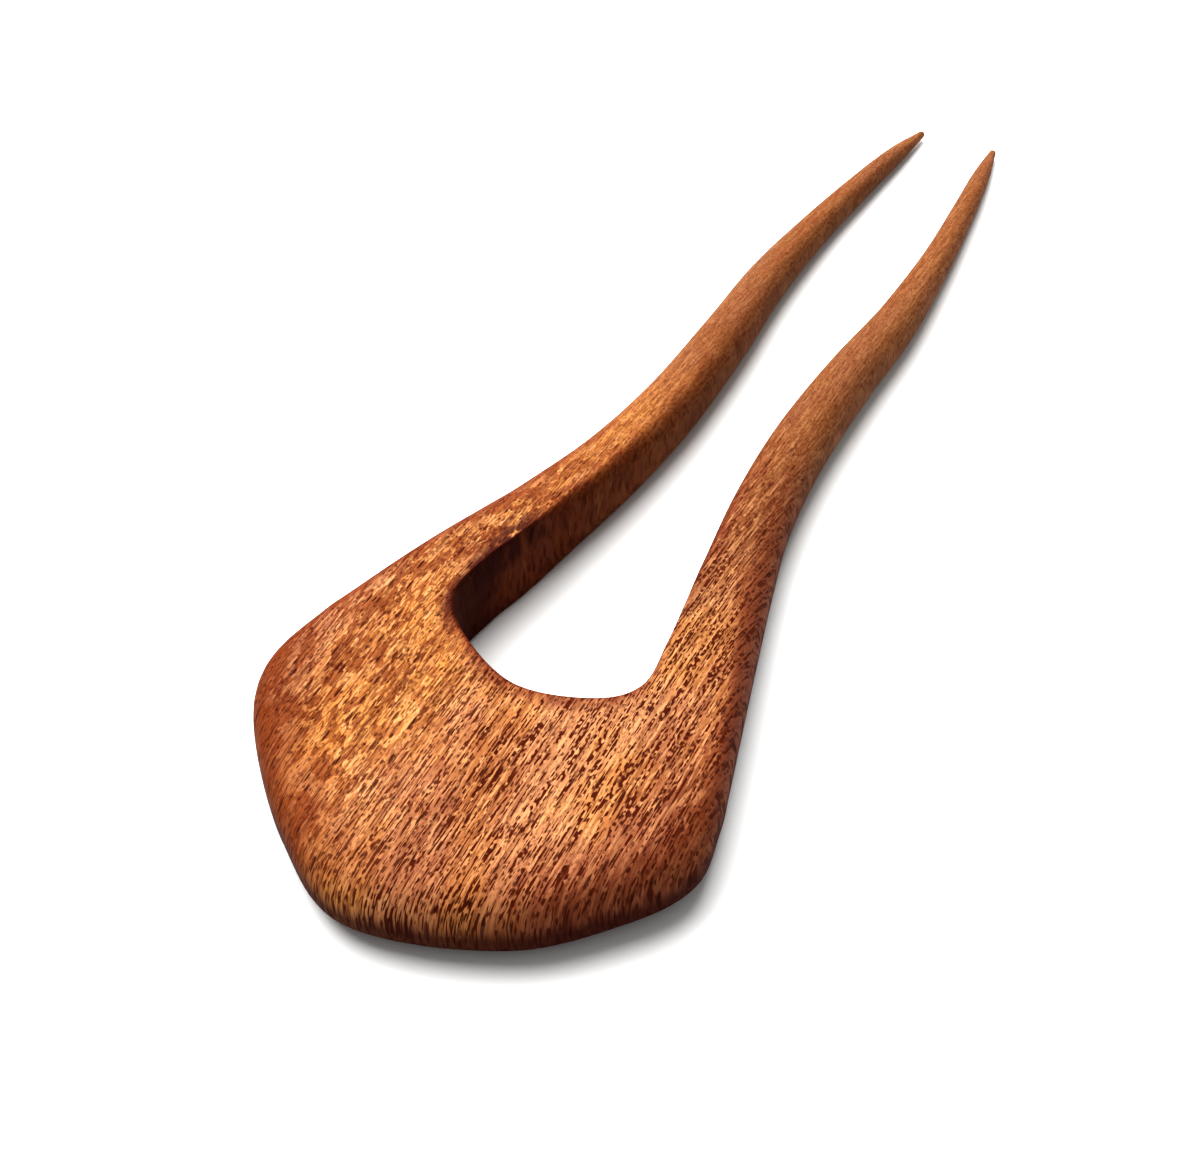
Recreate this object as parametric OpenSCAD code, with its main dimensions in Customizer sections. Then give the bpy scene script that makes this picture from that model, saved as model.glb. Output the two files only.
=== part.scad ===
// Two-pronged hair fork carved from one piece of wood.
// A broad, softly pointed head narrows into two long prongs that wave in towards
// each other, out again and in to slim rounded tips, with a round-bottomed gap between.
// It lies on its flat underside. +X is across the head, +Y runs from the head's blunt
// point to the tips and +Z is up. The origin is under the middle of its outline.

/* [Overall] */
// Length from the head's blunt point to the prong tips
fork_length = 140; // [115:1:170]
// Length of the head, from its blunt point to where the prongs begin
head_length = 50; // [42:1:60]
// Width of the head across its two corners
head_width = 44.4; // [36:0.2:56]
// How far to the right of the middle the blunt point is, as it was shaped by hand
nose_offset = -2; // [-3:0.1:3]

/* [Thickness] */
// Thickness of the head's shoulders, on both sides of the gap's floor
shoulder_thickness = 9; // [6:0.1:12]
// Thickness of the head at its blunt point
nose_thickness = 7.7; // [5:0.1:12]
// How much thinner the wood is at the head's outer rim than at the gap
rim_drop = 0.7; // [0:0.1:2.5]
// Thickness of a prong where it leaves the head
prong_thickness = 8.1; // [4:0.1:10]

/* [Gap] */
// Wood between the head's blunt point and the floor of the gap
nose_depth = 25.5; // [20:0.1:32]
// Widest part of the gap, just above its floor
gap_width = 20.2; // [14:0.2:26]
// How much lower the floor was cut on its right side than on its left
floor_lean = 1.7; // [-3:0.1:3]
// Gap between the prongs where they first wave in
waist_gap = 9; // [5:0.2:14]
// Gap between the prongs where they bow out again
belly_gap = 12; // [6:0.2:18]
// Gap between the two tips
tip_gap = 9; // [5:0.2:16]

/* [Prongs] */
// Width of a prong where it leaves the head
prong_width = 7.2; // [5:0.1:10]
// Width and thickness of a prong just behind its round tip
tip_size = 0.9; // [0.6:0.1:2]
// Height of the tips' underside above the table
tip_lift = 0.4; // [0:0.1:5]

/* [Edges] */
// How far the outer rim's rounding reaches in from the edge, except at the blunt point
rim_round = 5.8; // [3:0.1:7]
// How far the gap's edge rounding reaches in from the edge
gap_round = 1.1; // [0.6:0.1:2.5]

/* [Hidden] */
wood_colour = "#a8622f";
steps = 5; // sections drawn between two rows of the outline tables
side_steps = 4; // points drawn between two rows of the side view table
arc_points = 10; // steps round each edge of a section, an even number
top_points = 3; // points across a section's top and underside, between its edges
round_corner = 2.2; // exponent of a round edge, 2 being an ellipse
full_corner = 2.7; // exponent of a fuller, squarer edge
least_flat = 0.1; // share of a section's width left between its two edges
tip_radius = tip_size / 2;
prong_length = fork_length - head_length - tip_radius;

// Sizes that the tables' stages run through, from one named size to the next
half_gaps = [gap_width / 2, waist_gap / 2, belly_gap / 2, tip_gap / 2];
thicknesses = [nose_thickness, shoulder_thickness, prong_thickness, tip_size];

// Right half of the head seen from above, from the blunt point round to the prong's root.
// outer_x is a share of half the head's width and outer_y of the head's length.
// inner_x is a share of half the gap's width and inner_y of the gap's run in the head.
// lean is the share that the row takes of half the floor's lean.
// rim is the share of the rim's rounding, which is narrower towards the blunt point.
head_rows = [
    // outer_x, outer_y, inner_x, inner_y, lean, rim
    [0.00, 0.00, 0.00, 0.00, 0, 0.70],
    [0.49, 0.083, 0.675, 0.095, 0.75, 0.70],
    [0.845, 0.225, 0.983, 0.235, 1, 0.80],
    [1.00, 0.34, 0.947, 0.455, 1, 1],
    [0.975, 0.457, 0.858, 0.65, 0, 1],
    [0.905, 0.573, 0.803, 0.767, 0, 1],
];

// Right prong seen from above, from its root to its tip.
// along is a share of the prong's length.
// gap is a stage: 0 widest, 1 waist, 2 belly, 3 tip.
// slim is how far the width has gone from the root's to the tip's.
// roundness is 0 for the gap's tight edge and 1 for a fully round prong.
prong_rows = [
    // along, gap, slim, roundness
    [0.00, 0.57, 0.00, 0.10],
    [0.11, 0.845, 0.12, 0.35],
    [0.24, 1.00, 0.18, 0.65],
    [0.39, 1.19, 0.25, 1.00],
    [0.53, 1.87, 0.38, 1.00],
    [0.68, 1.97, 0.56, 1.00],
    [0.82, 2.47, 0.68, 1.00],
    [0.92, 2.87, 0.79, 1.00],
    [1.00, 3.00, 1.00, 1.00],
];

// The whole fork seen from the side, from the blunt point to the tips.
// along is a share of the head's length up to 1, and 1 and a share of the prongs' from there.
// thickness is a stage: 0 nose, 1 shoulder, 2 prong's root, 3 tip.
// lift is a share of the tips' lift.
side_rows = [
    // along, thickness, lift
    [0.00, 0.00, 0.00],
    [0.12, 0.20, 0.00],
    [0.30, 0.50, 0.00],
    [0.50, 0.85, 0.00],
    [0.72, 1.00, 0.00],
    [0.88, 1.40, 0.00],
    [1.00, 2.00, 0.00],
    [1.11, 2.10, 0.15],
    [1.24, 2.19, 0.25],
    [1.39, 2.27, 0.33],
    [1.53, 2.40, 0.45],
    [1.68, 2.55, 0.57],
    [1.82, 2.69, 0.70],
    [1.92, 2.82, 0.83],
    [2.00, 3.00, 1.00],
];

function mix(a, b, t) = a + (b - a) * t;

// Value at a stage of a list, such as half way from its first to its second at 0.5
function at_stage(list, s) =
    let (i = min(floor(s), len(list) - 2))
    mix(list[i], list[i + 1], s - i);

// Smooth curve through every row of a table, with so many points to a row
function row_at(rows, i) =
    i < 0 ? 2 * rows[0] - rows[1]
    : i >= len(rows) ? 2 * rows[len(rows) - 1] - rows[len(rows) - 2]
    : rows[i];
function blend(a, b, c, d, t) =
    0.5 * (2 * b + (c - a) * t + (2 * a - 5 * b + 4 * c - d) * t * t
        + (3 * b - a - 3 * c + d) * t * t * t);
function smooth(rows, points) = [
    for (i = [0:len(rows) - 2], k = [0:points - 1])
        blend(row_at(rows, i - 1), rows[i], rows[i + 1], row_at(rows, i + 2), k / points),
    rows[len(rows) - 1],
];

// Both outline tables in one form: inner point, outer point, rim drop, roundness and rim.
// side is 1 for the right half and -1 for the left one.
function head_section(row, side) = [
    side * row[2] * gap_width / 2,
    mix(nose_depth, head_length, row[3]) - side * row[4] * floor_lean / 2,
    side * row[0] * head_width / 2,
    row[1] * head_length,
    rim_drop,
    0,
    row[5],
];
function prong_section(row, side) =
    let (
        inner = at_stage(half_gaps, row[1]),
        y = head_length + row[0] * prong_length
    )
    [side * inner, y, side * (inner + mix(prong_width, tip_size, row[2])), y, 0, row[3], 1];
function half(side) = [
    for (row = head_rows) head_section(row, side),
    for (row = prong_rows) prong_section(row, side),
];
left_half = half(-1);
right_half = half(1);

// One run of sections goes from the left tip round the head to the right tip.
// The blunt point is off the middle, as it was shaped by hand.
nose = right_half[0] + [0, 0, nose_offset, 0, 0, 0, 0];
outline = [
    for (i = [len(left_half) - 1:-1:1]) left_half[i],
    nose,
    for (i = [1:len(right_half) - 1]) right_half[i],
];
sections = smooth(outline, steps);

// Thickness and height of the underside at a distance from the blunt point
function side_place(along) =
    along <= 1 ? along * head_length : head_length + (along - 1) * prong_length;
side_curve = smooth(
    [for (row = side_rows) [side_place(row[0]), at_stage(thicknesses, row[1]), row[2]]],
    side_steps
);
function thickness_at(y) = lookup(y, [for (p = side_curve) [p[0], p[1]]]);
function underside_at(y) = tip_lift * max(0, lookup(y, [for (p = side_curve) [p[0], p[2]]]));

// One edge of a section as [distance in from the edge, height from -1 to 1], top first
function bulge(v, power) = pow(abs(v), 2 / power);
function edge(power, reach) = [
    for (k = [0:arc_points])
        let (a = 90 - 180 * k / arc_points)
        [reach * (1 - bulge(cos(a), power)), sign(a) * bulge(sin(a), power)],
];

// The points of one section in space: down its inner edge, along its underside,
// up its outer edge and back over its top
function ring(s) =
    let (
        inner = [s[0], s[1]],
        outer = [s[2], s[3]],
        width = norm(outer - inner),
        across = (outer - inner) / width,
        roundness = max(0, min(1, s[5])),
        power = mix(full_corner, round_corner, roundness),
        room = width * (1 - least_flat),
        inner_reach = min(mix(gap_round, room / 2, roundness), room / 2),
        outer_reach = min(rim_round * s[6], room - inner_reach),
        outer_edge = edge(power, outer_reach),
        between = [
            for (k = [1:top_points])
                mix(inner_reach, width - outer_reach, k / (top_points + 1)),
        ],
        flat_points = [
            for (p = edge(power, inner_reach)) p,
            for (x = between) [x, -1],
            for (k = [arc_points:-1:0]) [width - outer_edge[k][0], outer_edge[k][1]],
            for (k = [top_points - 1:-1:0]) [between[k], 1],
        ]
    )
    [
        for (p = flat_points)
            let (
                place = inner + across * p[0],
                drop = s[4] * pow(p[0] / width, 2),
                thickness = thickness_at(place[1]) - drop
            )
            [place[0], place[1], underside_at(place[1]) + thickness * (1 + p[1]) / 2],
    ];

function centre(points) =
    let (total = [for (p = points) 1] * points)
    total / len(points);

// Rounds a tip off: rings that shrink on a ball, and a last point
tip_angles = [25, 50, 70];
function shrunk(points, middle, angle) = [
    for (p = points)
        let (q = middle + (p - middle) * cos(angle))
        [q[0], middle[1] + tip_radius * sin(angle), q[2]],
];

body_rings = [for (s = sections) ring(s)];
last = len(body_rings) - 1;
left_middle = centre(body_rings[0]);
right_middle = centre(body_rings[last]);
all_rings = [
    for (k = [len(tip_angles) - 1:-1:0]) shrunk(body_rings[0], left_middle, tip_angles[k]),
    for (r = body_rings) r,
    for (a = tip_angles) shrunk(body_rings[last], right_middle, a),
];
around = len(all_rings[0]);
count = len(all_rings);
points = [
    for (r = all_rings, p = r) p,
    left_middle + [0, tip_radius, 0],
    right_middle + [0, tip_radius, 0],
];

// Skin between neighbouring rings, as triangles, and a fan over each tip
skin = [
    for (i = [0:count - 2], k = [0:around - 1])
        let (
            a = i * around + k,
            b = i * around + (k + 1) % around,
            c = a + around,
            d = b + around
        )
        each [[a, b, c], [b, d, c]],
];
left_fan = [for (k = [0:around - 1]) [count * around, (k + 1) % around, k]];
right_fan = [
    for (k = [0:around - 1])
        let (start = (count - 1) * around)
        [count * around + 1, start + k, start + (k + 1) % around],
];

module fork() {
    color(wood_colour)
        translate([0, -fork_length / 2, 0])
            polyhedron(points = points, faces = concat(skin, left_fan, right_fan));
}

fork();
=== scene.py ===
import math
import bpy
import numpy as np
from mathutils import Matrix, Vector, noise


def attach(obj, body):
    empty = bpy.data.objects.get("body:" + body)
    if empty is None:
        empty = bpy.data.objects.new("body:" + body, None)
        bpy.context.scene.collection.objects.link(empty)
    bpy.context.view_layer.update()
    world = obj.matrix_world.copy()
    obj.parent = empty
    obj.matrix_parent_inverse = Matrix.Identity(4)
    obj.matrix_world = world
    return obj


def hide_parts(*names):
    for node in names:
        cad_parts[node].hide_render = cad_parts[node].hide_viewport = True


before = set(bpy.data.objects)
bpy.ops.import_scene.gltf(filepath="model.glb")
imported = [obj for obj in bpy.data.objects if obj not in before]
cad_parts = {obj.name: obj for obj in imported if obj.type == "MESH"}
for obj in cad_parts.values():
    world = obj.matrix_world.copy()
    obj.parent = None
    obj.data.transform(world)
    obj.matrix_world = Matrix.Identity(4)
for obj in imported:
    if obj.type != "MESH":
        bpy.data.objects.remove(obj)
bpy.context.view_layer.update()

print("Fork's solid loaded")


def hexToLinear(hexColour):
    channels = [int(hexColour[i:i + 2], 16) / 255 for i in (1, 3, 5)]
    linear = [c / 12.92 if c <= 0.04045 else ((c + 0.055) / 1.055) ** 2.4 for c in channels]
    return (*linear, 1.0)


def addNode(tree, kind, inputs=None, output=0, **settings):
    # A shader node, its settings, and what goes into its sockets: a value or another node's output
    node = tree.nodes.new("ShaderNode" + kind)
    for name, value in settings.items():
        setattr(node, name, value)
    for key, value in (inputs or {}).items():
        if isinstance(value, bpy.types.NodeSocket):
            tree.links.new(value, node.inputs[key])
        else:
            node.inputs[key].default_value = value
    return node.outputs[output] if node.outputs else node


def startMaterial(name):
    material = bpy.data.materials.new(name)
    material.use_nodes = True
    material.node_tree.nodes.clear()
    return material, material.node_tree


# The camera comes first, so that the framing is settled
cameraView = {
    "azimuth": 28.7,        # degrees round the fork, 0 looks along its length
    "elevation": 45.36,     # degrees above the table
    "distance": 0.17515,    # m, from the point it aims at
    "aim": (-0.00326, -0.02298, 0.0),
    "roll": -0.36,          # degrees
    "lens": 52.5,           # mm
    "sensor": 36.0,         # mm, its width
    "clip": (0.01, 20.0),   # m
}


def placeCamera():
    azimuth, elevation, roll = (math.radians(cameraView[k]) for k in ("azimuth", "elevation", "roll"))
    back = Vector((math.sin(azimuth) * math.cos(elevation), -math.cos(azimuth) * math.cos(elevation),
                   math.sin(elevation)))
    level = (-back).cross(Vector((0, 0, 1))).normalized()
    upright = level.cross(-back)
    right = math.cos(roll) * level + math.sin(roll) * upright
    up = math.cos(roll) * upright - math.sin(roll) * level
    data = bpy.data.cameras.new("photoCamera")
    data.sensor_width = cameraView["sensor"]
    data.lens = cameraView["lens"]
    data.clip_start, data.clip_end = cameraView["clip"]
    camera = bpy.data.objects.new("photoCamera", data)
    bpy.context.scene.collection.objects.link(camera)
    rotation = Matrix((right, up, back)).transposed().to_4x4()
    spot = Vector(cameraView["aim"]) + back * cameraView["distance"]
    camera.matrix_world = Matrix.Translation(spot) @ rotation
    bpy.context.scene.camera = camera


placeCamera()
print("Camera placed")


# The fork has the solid's own sections, drawn fine enough for smooth curves
forkShape = {               # mm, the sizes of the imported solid
    "length": 140.0,
    "headLength": 50.0,
    "headWidth": 44.4,
    "noseOffset": -2.0,
    "shoulderThickness": 9.0,
    "noseThickness": 7.7,
    "rimDrop": 0.7,
    "prongThickness": 8.1,
    "noseDepth": 25.5,
    "gapWidth": 20.2,
    "floorLean": 1.7,
    "waistGap": 9.0,
    "bellyGap": 12.0,
    "tipGap": 9.0,
    "prongWidth": 7.2,
    "tipSize": 0.9,
    "tipLift": 0.4,
    "rimRound": 5.8,        # how far the outer rim's rounding reaches in
    "gapRound": 1.1,        # and the gap's
    "fullCorner": 2.7,      # exponent of a full edge
    "roundCorner": 2.2,     # exponent of a round one
    "leastFlat": 0.1,       # share of a section's width left flat between its edges
    "rowSteps": 22,         # rings between two rows of an outline table
    "sideSteps": 12,        # points between two rows of the side view's table
    "edgeSteps": 26,        # points round each edge of a ring
    "topSteps": 16,         # points across its top, and across its underside
    "capAngles": (15, 30, 45, 60, 72, 82),  # degrees at which a tip's last rings lie
    "carveDepth": 0.10,     # deepest hollow that the knife and the sanding left
    "carveSize": 8.0,       # how wide such a hollow is, and it is twice as long
    "carveFade": 50.0,      # how far before the tips the hollows start to fade out
}

headRows = [  # outer x, outer y, inner x, inner y, the floor's lean and the rim's rounding, as shares
    (0.00, 0.00, 0.00, 0.00, 0, 0.70),
    (0.49, 0.083, 0.675, 0.095, 0.75, 0.70),
    (0.845, 0.225, 0.983, 0.235, 1, 0.80),
    (1.00, 0.34, 0.947, 0.455, 1, 1),
    (0.975, 0.457, 0.858, 0.65, 0, 1),
    (0.905, 0.573, 0.803, 0.767, 0, 1),
]
prongRows = [  # along, gap stage, slim, roundness
    (0.00, 0.57, 0.00, 0.10),
    (0.11, 0.845, 0.12, 0.35),
    (0.24, 1.00, 0.18, 0.65),
    (0.39, 1.19, 0.25, 1.00),
    (0.53, 1.87, 0.38, 1.00),
    (0.68, 1.97, 0.56, 1.00),
    (0.82, 2.47, 0.68, 1.00),
    (0.92, 2.87, 0.79, 1.00),
    (1.00, 3.00, 1.00, 1.00),
]
sideRows = [  # along, thickness stage, lift
    (0.00, 0.00, 0.00),
    (0.12, 0.20, 0.00),
    (0.30, 0.50, 0.00),
    (0.50, 0.85, 0.00),
    (0.72, 1.00, 0.00),
    (0.88, 1.40, 0.00),
    (1.00, 2.00, 0.00),
    (1.11, 2.10, 0.15),
    (1.24, 2.19, 0.25),
    (1.39, 2.27, 0.33),
    (1.53, 2.40, 0.45),
    (1.68, 2.55, 0.57),
    (1.82, 2.69, 0.70),
    (1.92, 2.82, 0.83),
    (2.00, 3.00, 1.00),
]


def smoothRows(rows, steps):
    # Smooth curve through every row of a table
    rows = np.asarray(rows, float)
    full = np.vstack([2 * rows[0] - rows[1], rows, 2 * rows[-1] - rows[-2]])
    t = (np.arange(steps) / steps)[:, None]
    runs = []
    for i in range(len(rows) - 1):
        a, b, c, d = full[i:i + 4]
        runs.append(0.5 * (2 * b + (c - a) * t + (2 * a - 5 * b + 4 * c - d) * t ** 2
                           + (3 * b - a - 3 * c + d) * t ** 3))
    return np.vstack(runs + [rows[-1:]])


def edgeCurve(power, reach, steps):
    # A rounded edge, top first: distance in from the edge, and height from -1 to 1
    angle = np.radians(90 - 180 * np.arange(steps + 1) / steps)
    cosine, sine = np.abs(np.cos(angle)), np.sin(angle)
    radius = (cosine ** power + np.abs(sine) ** power) ** (-1 / power)
    return np.stack([reach * (1 - cosine * radius), sine * radius], axis=1)


def forkRings():
    s = forkShape
    tipRadius = s["tipSize"] / 2
    prongLength = s["length"] - s["headLength"] - tipRadius
    halfGaps = [s["gapWidth"] / 2, s["waistGap"] / 2, s["bellyGap"] / 2, s["tipGap"] / 2]
    thicknesses = [s["noseThickness"], s["shoulderThickness"], s["prongThickness"], s["tipSize"]]
    halves = []
    for side in (-1, 1):
        half = []
        for ox, oy, ix, iy, lean, rim in headRows:
            innerY = s["noseDepth"] + iy * (s["headLength"] - s["noseDepth"])
            half.append([side * ix * s["gapWidth"] / 2, innerY - side * lean * s["floorLean"] / 2,
                         side * ox * s["headWidth"] / 2, oy * s["headLength"], s["rimDrop"], 0, rim])
        for along, gap, slim, roundness in prongRows:
            inner = np.interp(gap, range(4), halfGaps)
            width = s["prongWidth"] + slim * (s["tipSize"] - s["prongWidth"])
            y = s["headLength"] + along * prongLength
            half.append([side * inner, y, side * (inner + width), y, 0, roundness, 1])
        halves.append(np.array(half))
    left, right = halves
    right[0, 2] += s["noseOffset"]      # the blunt point's outer x
    sections = smoothRows(np.vstack([left[:0:-1], right]), s["rowSteps"])

    def alongToY(a):
        return a * s["headLength"] if a <= 1 else s["headLength"] + (a - 1) * prongLength
    side = smoothRows([[alongToY(a), np.interp(stage, range(4), thicknesses), lift]
                       for a, stage, lift in sideRows], s["sideSteps"])

    rings, insets = [], []
    between = np.arange(1, s["topSteps"] + 1) / (s["topSteps"] + 1)
    for ix, iy, ox, oy, drop, roundness, rim in sections:
        inner, outer = np.array([ix, iy]), np.array([ox, oy])
        width = np.linalg.norm(outer - inner)
        across = (outer - inner) / width
        roundness = min(1, max(0, roundness))
        power = s["fullCorner"] + roundness * (s["roundCorner"] - s["fullCorner"])
        room = width * (1 - s["leastFlat"])
        innerReach = min(s["gapRound"] + roundness * (room / 2 - s["gapRound"]), room / 2)
        outerReach = min(s["rimRound"] * rim, room - innerReach)
        innerEdge = edgeCurve(power, innerReach, s["edgeSteps"])
        outerEdge = edgeCurve(power, outerReach, s["edgeSteps"])[::-1]
        outerEdge[:, 0] = width - outerEdge[:, 0]
        flat = innerReach + between * (width - outerReach - innerReach)
        profile = np.vstack([innerEdge, np.stack([flat, -np.ones_like(flat)], axis=1), outerEdge,
                             np.stack([flat[::-1], np.ones_like(flat)], axis=1)])
        place = inner + across * profile[:, :1]
        thickness = np.interp(place[:, 1], side[:, 0], side[:, 1]) - drop * (profile[:, 0] / width) ** 2
        underside = s["tipLift"] * np.maximum(0, np.interp(place[:, 1], side[:, 0], side[:, 2]))
        rings.append(np.column_stack([place, underside + thickness * (1 + profile[:, 1]) / 2]))
        insets.append(np.column_stack([profile[:, 0], width - profile[:, 0]]))

    def capped(ring):
        # Rings that shrink towards the end of a round tip
        middle = ring.mean(axis=0)
        shrunk = []
        for angle in np.radians(s["capAngles"]):
            cap = middle + (ring - middle) * math.cos(angle)
            cap[:, 1] = middle[1] + tipRadius * math.sin(angle)
            shrunk.append(cap)
        return shrunk, middle + [0, tipRadius, 0]
    leftCaps, leftEnd = capped(rings[0])
    rightCaps, rightEnd = capped(rings[-1])
    rings = np.array(leftCaps[::-1] + rings + rightCaps)
    ends = np.array([leftEnd, rightEnd])
    rings[..., 1] -= s["length"] / 2
    ends[:, 1] -= s["length"] / 2
    insets = np.array([insets[0]] * len(leftCaps) + insets + [insets[-1]] * len(rightCaps))
    return rings / 1000, ends / 1000, insets


def buildFork():
    s = forkShape
    rings, ends, insets = forkRings()
    count, around = rings.shape[:2]
    verts = np.vstack([rings.reshape(-1, 3), ends])
    k = np.arange(around)
    following = (k + 1) % around
    starts = np.arange(count - 1)[:, None] * around
    quads = np.stack([starts + k, starts + k + around, starts + following + around, starts + following],
                     axis=-1).reshape(-1, 4)
    last = (count - 1) * around
    fans = [(count * around, int(a), int(b)) for a, b in zip(k, following)]
    fans += [(count * around + 1, last + int(b), last + int(a)) for a, b in zip(k, following)]
    mesh = bpy.data.meshes.new("carvedFork")
    mesh.from_pydata(verts.tolist(), [], quads.tolist() + fans)
    mesh.shade_smooth()
    mesh.update()
    # Hand work: long shallow hollows, cut inwards only, so that the fork stays in its solid's box
    normals = np.empty(len(mesh.vertices) * 3)
    mesh.vertices.foreach_get("normal", normals)
    normals = normals.reshape(-1, 3)
    size = s["carveSize"] / 1000
    depth = np.array([0.5 + 0.5 * noise.noise(Vector((x / size, y / size / 2, z / size)))
                      for x, y, z in verts])
    untilTips = np.clip((s["length"] / 2000 - verts[:, 1]) / (s["carveFade"] / 1000), 0, 1)
    verts -= normals * (depth * untilTips * s["carveDepth"] / 1000)[:, None]
    mesh.vertices.foreach_set("co", verts.ravel())
    mesh.update()
    # How far in from the gap's edge and from the outer rim each point is, in mm, as both are painted
    # darker, partly as painted shade where they roll over
    for i, name in enumerate(("fromGap", "fromRim")):
        inset = mesh.attributes.new(name, "FLOAT", "POINT")
        atEnds = [insets[0, :, i].max(), insets[-1, :, i].max()]
        inset.data.foreach_set("value", np.append(insets[..., i].ravel(), atEnds))
    fork = bpy.data.objects.new("carvedFork", mesh)
    bpy.context.scene.collection.objects.link(fork)
    return fork


fork = buildFork()
print("Fork carved:", len(fork.data.polygons), "faces")
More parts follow.
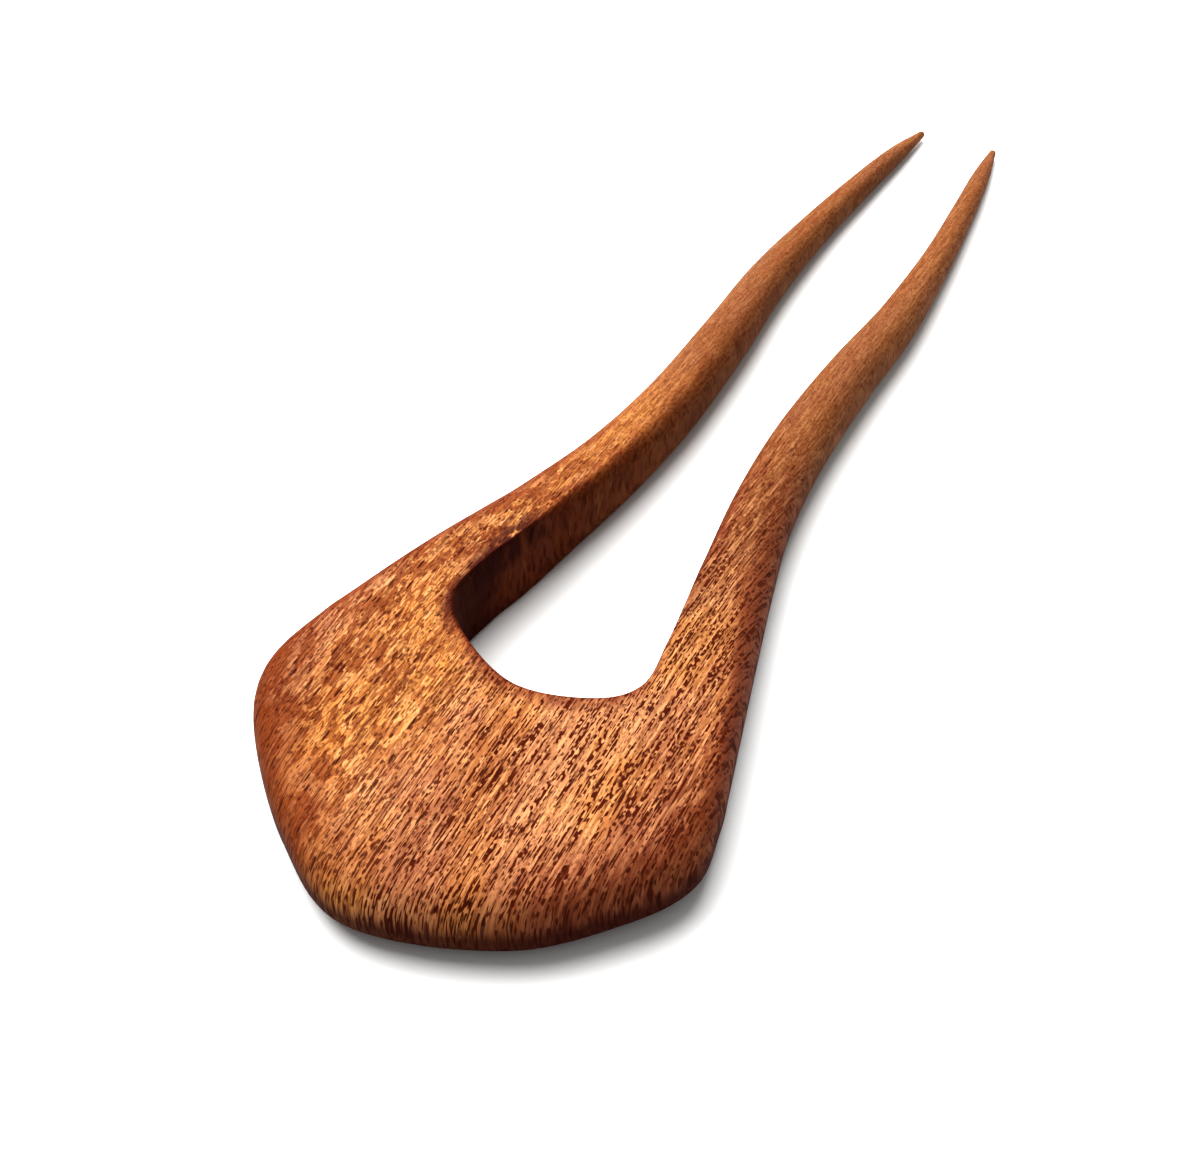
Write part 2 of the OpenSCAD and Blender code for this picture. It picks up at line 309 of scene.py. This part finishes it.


# Mahogany, carved, sanded along the grain and oiled. The oil leaves the pores open, so they show as
# dark dots and as rows of short dark dashes along the grain, between paler silky fibres, partly a
# painted sheen. The interlocked grain gives ribbons, and on the left woven flecks. The oil has soaked
# in, so the skin is satin, and it has darkened the end grain in the gap. The gap's wall and the lower
# edge carry painted shade; the rims, the sides and the gap's edge are painted darker, partly as painted
# shade and partly from oil and handling.
woodFinish = {
    "colours": {
        "amber": "#a07250",
        "gold": "#ac7840",
        "peach": "#c8986c",
        "umber": "#421603",
        "russet": "#66300f",
        "plum": "#602a20",
        "pore": "#36120c",
        "rim": "#6a3926",
        "prong": "#623d25",
    },
    "roughness": 0.6,
    "poreRoughness": 0.25,  # and what a pore adds to it
    "specular": 0.04,       # the oil is in the wood, so next to no gloss lies on it
    "ior": 1.5,
    "bendLength": 30.0,     # mm, how long the grain's bends are
    "bendReach": 0.9,       # mm, and how far they go
    "poreDepth": 0.07,      # mm
    "grooveShare": 0.35,    # how deep a dash or a line is, as a share of a pore
    "sheets": 12.0,         # how many times deeper than wide a streak is, so slopes don't cut it up
    # Mahogany's pores are 0.1 to 0.2 mm wide. The dashes and specks keep to that, and the pores are
    # drawn up to about 0.3 mm wide, as thinner ones wouldn't show in the picture.
    # Each pattern: mm across and along the grain, detail, and the noise at nothing and at full
    "patterns": {
        "patch": (5.5, 13.0, 2.0, 0.44, 0.58),
        "ribbon": (2.2, 60.0, 1.0, 0.40, 0.62),
        "strip": (0.6, 22.0, 0.0, 0.30, 0.70),
        # paler fibres, partly painted sheen: the peach streaks along the grain
        "paleFibresAndSheen": (0.24, 2.4, 0.5, 0.45, 0.65),
        "dash": (0.155, 4.5, 0.3, 0.495, 0.565),
        "broken": (0.25, 0.5, 0.3, 0.38, 0.53),
        "speck": (0.15, 0.5, 0.0, 0.56, 0.66),
        "blotch": (0.9, 1.6, 1.0, 0.36, 0.56),
        "line": (0.55, 18.0, 0.0, 0.090, 0.035),
    },
    "threads": ("line",),   # patterns that are thin lines: their noise counts from its middle
    "fleckCell": (1.2, 1.0, 0.50, 0.56),    # a fleck's mm across and along, and which of them are dark
    "fleckShift": 1.9,      # mm, how far strips of grain shift the flecks, which makes them look woven
    "poreSizes": (0.4, 1.2),    # the smallest and the largest pore, as shares of those below
    "poreCells": {  # mm across and along the grain, and where in its cell a pore is full and ends
        "longPore": (0.60, 3.2, 0.13, 0.24),
        "finePore": (0.42, 0.80, 0.18, 0.30),
    },
    "zones": {  # mm: middle x and y, and how far it reaches across and along
        "dusk": (2.0, -57.0, 8.5, 13.5),        # purplish heartwood in the middle of the head
        "sunny": (-10.5, -50.0, 9.0, 18.0),     # golden wood on its left
        "honey": (-9.0, -16.0, 9.0, 24.0),      # and on the left prong
        "rightShade": (21.5, -49.0, 11.5, 22.0),     # painted shade on the right side, which turns from the lamp
        "leftCornerDark": (-17.0, -47.5, 8.0, 9.0),      # darker, browner by the left corner
        "rightCornerDark": (19.8, -49.0, 3.2, 6.0),      # darker by the right corner
        "lowRightShade": (19.5, -64.5, 12.5, 12.0),       # painted shade on the right lower edge and corner
        "gapEndShade": (-10.5, -37.5, 4.5, 8.0),       # painted shade in the dark end of the gap, by the left prong's root
        "torn": (-9.5, -31.5, 2.4, 9.5),        # torn grain along the gap's edge there
    },
    "zoneCore": 0.35,       # share of a zone's reach within which it is full
    "places": {  # what it is read from, and that at nothing and at full, in mm or as a share
        "handledShadedFlanks": ("sideways", 0.08, 0.60),     # rolled over to the sides: painted shade where they turn from the lamp, and partly browned by hands
        "endGrain": ("backwards", 0.02, 0.35),  # at the gap's floor, where it takes more oil
        "gapEdgeOilAndShade": ("fromGap", 2.8, 0.9),        # the gap's edge, painted darker: painted shade where it rolls over, and partly oil and dust
        "wallShade": ("fromGap", 1.1, 0.4),          # the gap's wall, which carries painted shade
        "outer": ("fromGap", 1.0, 4.0),         # all but that wall
        "rimHandlingAndShade": ("fromRim", 8.0, 3.0),          # the outer rim: painted shade where it rolls away from the lamp, and partly browned by hands
        "inward": ("fromRim", 0.2, 1.8),        # all but its very edge, which is worn
        "lowEdgeShade": ("z", 5.6, 3.2),                # painted shade along the lower edge by the floor, which also covers the head's underside
        "upper": ("z", 5.0, 7.0),               # all above the lower edge
        "byFloor": ("y", -34.0, -40.0),         # by the gap's floor
        "broad": ("y", -22.0, -36.0),           # the head without the prongs' roots
        "head": ("y", 12.0, -30.0),             # and with them
        "prongs": ("y", -52.0, -14.0),          # which handling has browned
        "left": ("x", 4.0, -12.0),              # the left half, with its flecks
    },
    "prongGrain": 0.25,     # how much of the grain still shows on the prongs, which are sanded smoother
    "flankGrain": 0.85,     # and on the rolled edges
    "leftDashes": 0.6,      # the flecked left has fewer dashes
    "layers": [  # what is laid over what: pattern, colour, strength and the places it keeps to
        ("patch", "gold", 0.6, ()),
        ("prongs", "prong", 0.85, ()),
        ("sunny", "gold", 0.75, ()),
        ("honey", "gold", 0.55, ()),
        ("ribbon", "russet", 0.2, ()),
        ("dusk", "plum", 0.42, ()),
        # painted shade on the right side
        ("rightShade", "rim", 0.65, ()),
        ("leftCornerDark", "rim", 0.4, ()),
        ("rightCornerDark", "umber", 0.4, ()),
        # painted shade on the right lower edge
        ("lowRightShade", "rim", 0.75, ()),
        # peach streaks: paler fibres, partly a painted sheen
        ("paleFibresAndSheen", "peach", 0.38, ("worked",)),
        # the outer rim painted darker: painted shade, partly handling
        ("rimHandlingAndShade", "rim", 0.4, ("broad", "inward")),
        ("rimHandlingAndShade", "russet", 0.35, ("broad", "left")),
        # the sides painted darker: painted shade, partly handling
        ("handledShadedFlanks", "rim", 0.6, ("head",)),
        ("handledShadedFlanks", "russet", 0.6, ("head", "left")),
        ("endGrain", "rim", 0.85, ("head",)),
        # the gap's edge, darker still by the gap's floor: painted shade, partly oil and dust
        ("gapEdgeOilAndShade", "rim", 0.75, ("head", "blotch")),
        ("gapEdgeOilAndShade", "rim", 0.5, ("byFloor",)),
        ("fleck", "russet", 0.7, ("left", "worked")),
        ("dash", "umber", 1.0, ("worked", "plain", "broken")),
        ("line", "umber", 0.3, ("worked",)),
        ("speck", "umber", 0.4, ()),
        # painted shade on the gap's wall
        ("wallShade", "umber", 0.3, ("head",)),
        # painted shade along the lower edge
        ("lowEdgeShade", "pore", 0.85, ("head", "outer")),
        # painted shade in the gap's left corner
        ("gapEndShade", "pore", 0.7, ("gapEdgeOilAndShade",)),
        ("torn", "pore", 0.85, ("blotch", "upper")),
        ("finePore", "pore", 0.65, ("worked",)),
        ("longPore", "pore", 0.85, ("worked",)),
    ],
}


def makeWood():
    w = woodFinish
    material, tree = startMaterial("oiledMahogany")
    place = addNode(tree, "TexCoord", output="Object")
    facing = addNode(tree, "SeparateXYZ", {0: place.node.outputs["Normal"]}).node.outputs
    spot = addNode(tree, "SeparateXYZ", {0: place}).node.outputs

    # The grain runs along Y and bends gently
    bend = addNode(tree, "TexNoise", {"Vector": place, "Scale": 1000 / w["bendLength"], "Detail": 1.0},
                   output="Color")
    bend = addNode(tree, "VectorMath", {0: bend, 1: (0.5, 0.5, 0.5)}, operation="SUBTRACT")
    reach = w["bendReach"] / 1000
    grain = addNode(tree, "VectorMath", {0: bend, 1: (reach, 0, reach), 2: place},
                    operation="MULTIPLY_ADD")

    deep = w["sheets"]
    masks = {}
    for name, (across, along, detail, nothing, full) in w["patterns"].items():
        stretch = (1000 / across, 1000 / along, 1000 / across / deep)
        scaled = addNode(tree, "VectorMath", {0: grain, 1: stretch}, operation="MULTIPLY")
        cloud = addNode(tree, "TexNoise", {"Vector": scaled, "Scale": 1.0, "Detail": detail})
        if name in w["threads"]:
            cloud = addNode(tree, "Math", {0: cloud, 1: 0.5}, operation="SUBTRACT")
            cloud = addNode(tree, "Math", {0: cloud}, operation="ABSOLUTE")
        masks[name] = addNode(tree, "MapRange", {"Value": cloud, "From Min": nothing, "From Max": full},
                              interpolation_type="SMOOTHSTEP")

    # Flecks where the interlocked grain dips in and out: whole cells, shifted by the strip they are in
    across, along, nothing, full = w["fleckCell"]
    stretch = (1000 / across, 1000 / along, 1000 / across / deep)
    shift = addNode(tree, "Math", {0: masks["strip"], 1: w["fleckShift"] / 1000}, operation="MULTIPLY")
    shift = addNode(tree, "CombineXYZ", {"Y": shift})
    woven = addNode(tree, "VectorMath", {0: grain, 1: shift}, operation="ADD")
    scaled = addNode(tree, "VectorMath", {0: woven, 1: stretch}, operation="MULTIPLY")
    cell = addNode(tree, "TexVoronoi", {"Vector": scaled, "Scale": 1.0}, output="Color")
    pick = addNode(tree, "SeparateColor", {0: cell})
    masks["fleck"] = addNode(tree, "MapRange", {"Value": pick, "From Min": nothing, "From Max": full},
                             interpolation_type="SMOOTHSTEP")

    # A pore is the middle of a long cell, and some are smaller than others
    smallest, largest = w["poreSizes"]
    for name, (across, along, full, nothing) in w["poreCells"].items():
        stretch = (1000 / across, 1000 / along, 1000 / across / deep)
        scaled = addNode(tree, "VectorMath", {0: grain, 1: stretch}, operation="MULTIPLY")
        cell = addNode(tree, "TexVoronoi", {"Vector": scaled, "Scale": 1.0}, output="Distance")
        pick = addNode(tree, "SeparateColor", {0: cell.node.outputs["Color"]})
        size = addNode(tree, "Math", {0: pick, 1: largest - smallest, 2: smallest},
                       operation="MULTIPLY_ADD")
        away = addNode(tree, "Math", {0: cell, 1: size}, operation="DIVIDE")
        masks[name] = addNode(tree, "MapRange", {"Value": away, "From Min": full, "From Max": nothing,
                                                 "To Min": 1.0, "To Max": 0.0},
                              interpolation_type="SMOOTHSTEP")

    # Soft-edged zones, which bend with the grain
    for name, (x, y, halfAcross, halfAlong) in w["zones"].items():
        apart = addNode(tree, "VectorMath", {0: grain, 1: (-x / 1000, -y / 1000, 0)}, operation="ADD")
        stretch = (1000 / halfAcross, 1000 / halfAlong, 0)
        apart = addNode(tree, "VectorMath", {0: apart, 1: stretch}, operation="MULTIPLY")
        away = addNode(tree, "VectorMath", {0: apart}, output="Value", operation="LENGTH")
        masks[name] = addNode(tree, "MapRange",
                              {"Value": away, "From Min": 1.0, "From Max": w["zoneCore"]},
                              interpolation_type="SMOOTHSTEP")

    # Places set by how the surface faces or by where it is, which Blender gives in metres
    sources = {
        "sideways": (addNode(tree, "Math", {0: facing["X"]}, operation="ABSOLUTE"), 1),
        "backwards": (facing["Y"], 1),
        "fromGap": (addNode(tree, "Attribute", output="Fac", attribute_name="fromGap"), 1),
        "fromRim": (addNode(tree, "Attribute", output="Fac", attribute_name="fromRim"), 1),
        "x": (spot["X"], 1000),
        "y": (spot["Y"], 1000),
        "z": (spot["Z"], 1000),
    }
    for name, (source, nothing, full) in w["places"].items():
        value, perUnit = sources[source]
        masks[name] = addNode(tree, "MapRange", {"Value": value, "From Min": nothing / perUnit,
                                                 "From Max": full / perUnit},
                              interpolation_type="SMOOTHSTEP")
    # How much of the grain the sanding left, and where the dashes are fewer
    onProngs = addNode(tree, "MapRange", {"Value": masks["head"], "To Min": w["prongGrain"]})
    onFlanks = addNode(tree, "MapRange", {"Value": masks["handledShadedFlanks"], "To Min": 1.0,
                                          "To Max": w["flankGrain"]})
    masks["worked"] = addNode(tree, "Math", {0: onProngs, 1: onFlanks}, operation="MULTIPLY")
    masks["plain"] = addNode(tree, "MapRange", {"Value": masks["left"], "To Min": 1.0,
                                                "To Max": w["leftDashes"]})

    colours = {name: hexToLinear(value) for name, value in w["colours"].items()}
    colour = colours["amber"]
    amounts = {}
    for pattern, name, strength, keptTo in w["layers"]:
        amount = addNode(tree, "Math", {0: masks[pattern], 1: strength}, operation="MULTIPLY")
        for where in keptTo:
            amount = addNode(tree, "Math", {0: amount, 1: masks[where]}, operation="MULTIPLY")
        amounts[pattern] = amount
        colour = addNode(tree, "Mix", {0: amount, 6: colour, 7: colours[name]}, output=2,
                         data_type="RGBA")

    pits = addNode(tree, "Math", {0: amounts["longPore"], 1: amounts["finePore"]}, operation="MAXIMUM")
    groove = addNode(tree, "Math", {0: amounts["line"], 1: amounts["dash"]}, operation="MAXIMUM")
    sunk = addNode(tree, "Math", {0: groove, 1: w["grooveShare"], 2: pits}, operation="MULTIPLY_ADD")
    bump = addNode(tree, "Bump", {"Height": sunk, "Strength": 1.0, "Distance": w["poreDepth"] / 1000},
                   invert=True)
    rough = addNode(tree, "Math", {0: sunk, 1: w["poreRoughness"], 2: w["roughness"]},
                    operation="MULTIPLY_ADD")
    shader = addNode(tree, "BsdfPrincipled",
                     {"Base Color": colour, "Roughness": rough, "IOR": w["ior"],
                      "Specular IOR Level": w["specular"], "Normal": bump})
    addNode(tree, "OutputMaterial", {"Surface": shader})
    return material


fork.data.materials.append(makeWood())
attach(fork, "root")
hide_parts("fork")
print("Oiled mahogany on")


# Matt white paper under a large soft lamp, which hangs behind the fork on its left
studio = {
    "floorSize": 6.0,       # m
    "floorDrop": 0.00002,   # m under the fork, so that the two don't coincide
    "floorColour": "#d4d4d3",
    "floorRoughness": 0.9,
    "floorSpecular": 0.2,
    "worldColour": "#ffffff",
    "worldStrength": 0.5,
    "keyFrom": (-0.467, 0.308, 0.829),  # m
    "keySize": 1.4,         # m across
    "keyWatts": 34.0,
}


def buildStudio():
    s = studio
    half = s["floorSize"] / 2
    mesh = bpy.data.meshes.new("paperFloor")
    mesh.from_pydata([(-half, -half, 0), (half, -half, 0), (half, half, 0), (-half, half, 0)], [],
                     [(0, 1, 2, 3)])
    floor = bpy.data.objects.new("paperFloor", mesh)
    floor.location.z = -s["floorDrop"]
    bpy.context.scene.collection.objects.link(floor)
    material, tree = startMaterial("mattPaper")
    shader = addNode(tree, "BsdfPrincipled", {"Base Color": hexToLinear(s["floorColour"]),
                                              "Roughness": s["floorRoughness"],
                                              "Specular IOR Level": s["floorSpecular"]})
    addNode(tree, "OutputMaterial", {"Surface": shader})
    mesh.materials.append(material)

    world = bpy.data.worlds.new("softRoom")
    world.use_nodes = True
    background = world.node_tree.nodes["Background"]
    background.inputs["Color"].default_value = hexToLinear(s["worldColour"])
    background.inputs["Strength"].default_value = s["worldStrength"]
    bpy.context.scene.world = world

    data = bpy.data.lights.new("softKey", "AREA")
    data.shape = "DISK"
    data.size = s["keySize"]
    data.energy = s["keyWatts"]
    key = bpy.data.objects.new("softKey", data)
    key.location = s["keyFrom"]
    key.rotation_mode = "QUATERNION"
    key.rotation_quaternion = Vector(s["keyFrom"]).to_track_quat("Z", "Y")
    bpy.context.scene.collection.objects.link(key)

    bpy.context.scene.view_settings.view_transform = "Standard"
    bpy.context.scene.view_settings.look = "High Contrast"


buildStudio()
print("Studio lit")
